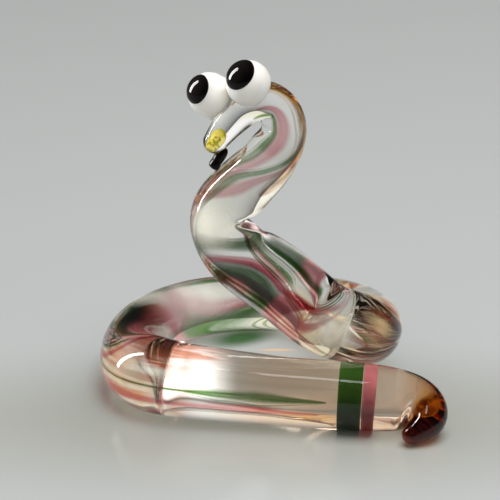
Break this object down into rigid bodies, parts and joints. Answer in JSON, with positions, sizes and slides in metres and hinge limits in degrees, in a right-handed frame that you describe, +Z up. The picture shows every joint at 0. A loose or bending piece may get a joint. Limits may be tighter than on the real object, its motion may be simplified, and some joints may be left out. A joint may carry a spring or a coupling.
{
  "type": "glass snake figurine",
  "caption": "Lampworked glass snake ornament: a clear rod in a coil that rises into an S neck, with green, pink and amber threads, bead eyes, a forked tongue and a hooked tail.",
  "frame": {"origin": "on the table, under the middle of the figure's box", "axes": "+Z up, +X to the figure's tail end, -Y towards the side that the snout and the pupils face"},
  "size_m": [0.0442, 0.043, 0.0463],
  "materials": {
    "clear_glass": "clear, fire-polished",
    "green_glass": "transparent dark green, fire-polished",
    "pink_glass": "transparent ruby pink, fire-polished",
    "amber_glass": "transparent amber brown, fire-polished",
    "yellow_glass": "yellow, fire-polished",
    "white_glass": "opaque white opal, fire-polished",
    "black_glass": "opaque black, fire-polished"
  },
  "bodies": {
    "root": {"body_rod": "clear_glass", "green_stripe_a": "green_glass", "green_stripe_b": "green_glass", "green_tail_band": "green_glass", "pink_stripe_a": "pink_glass", "pink_stripe_b": "pink_glass", "pink_tail_band": "pink_glass", "amber_stripe": "amber_glass", "tail_tip": "amber_glass", "mouth_bead": "yellow_glass", "eye_left": "white_glass", "eye_right": "white_glass", "pupil_left": "black_glass", "pupil_right": "black_glass", "tongue": "black_glass"}
  },
  "joints": []
}
